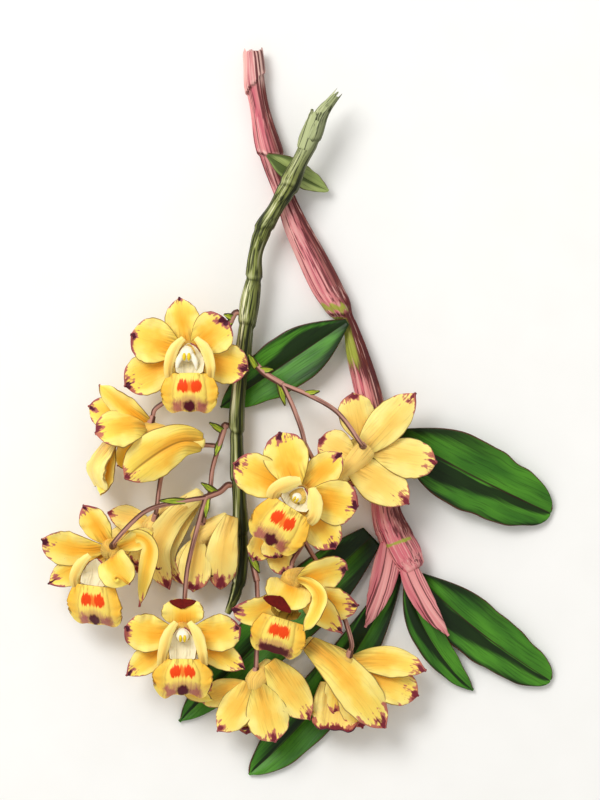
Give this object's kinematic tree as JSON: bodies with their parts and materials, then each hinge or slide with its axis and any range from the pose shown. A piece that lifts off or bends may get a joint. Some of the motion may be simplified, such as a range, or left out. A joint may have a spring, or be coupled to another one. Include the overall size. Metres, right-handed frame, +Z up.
{
  "type": "dendrobium orchid cutting",
  "caption": "Cutting of a yellow dendrobium orchid in bloom, laid flat: a leafy pink cane crossed by a green cane with sprays of maroon-tipped blooms.",
  "frame": {"origin": "on the surface that the cutting lies on, under the middle of its bounding box", "axes": "+Y towards the torn upper ends of the canes, +Z up, +X towards the large leaves"},
  "size_m": [0.1399, 0.2008, 0.0278],
  "materials": {
    "petal": "soft satin petal tissue, golden yellow with maroon tips",
    "leaf": "waxy deep green leaf with a maroon edge",
    "pink_sheath": "dry ribbed sheath, rose striped with maroon",
    "green_cane": "smooth olive cane with dark lengthwise stripes",
    "flower_stalk": "satin pinkish-brown stalk with yellow-green bracts"
  },
  "bodies": {
    "root": {"cane_leafy": "pink_sheath", "cane_flowering": "green_cane", "leaf_top_small": "leaf", "leaf_upper_left": "leaf", "leaf_right_upper": "leaf", "leaf_right_lower": "leaf", "leaf_narrow": "leaf", "leaf_under_left": "leaf", "leaf_under_right": "leaf", "raceme_top": "flower_stalk", "raceme_right": "flower_stalk", "raceme_left": "flower_stalk", "raceme_far_left": "flower_stalk", "raceme_low": "flower_stalk", "bloom_top": "petal", "bloom_side_left": "petal", "bloom_back_right": "petal", "bloom_middle": "petal", "bloom_far_left": "petal", "bloom_pale_left": "petal", "bloom_pale_hanging": "petal", "bloom_lower_left": "petal", "bloom_lower_middle": "petal", "bloom_bottom_left": "petal", "bloom_bottom_right": "petal", "bloom_behind": "petal"}
  },
  "joints": []
}
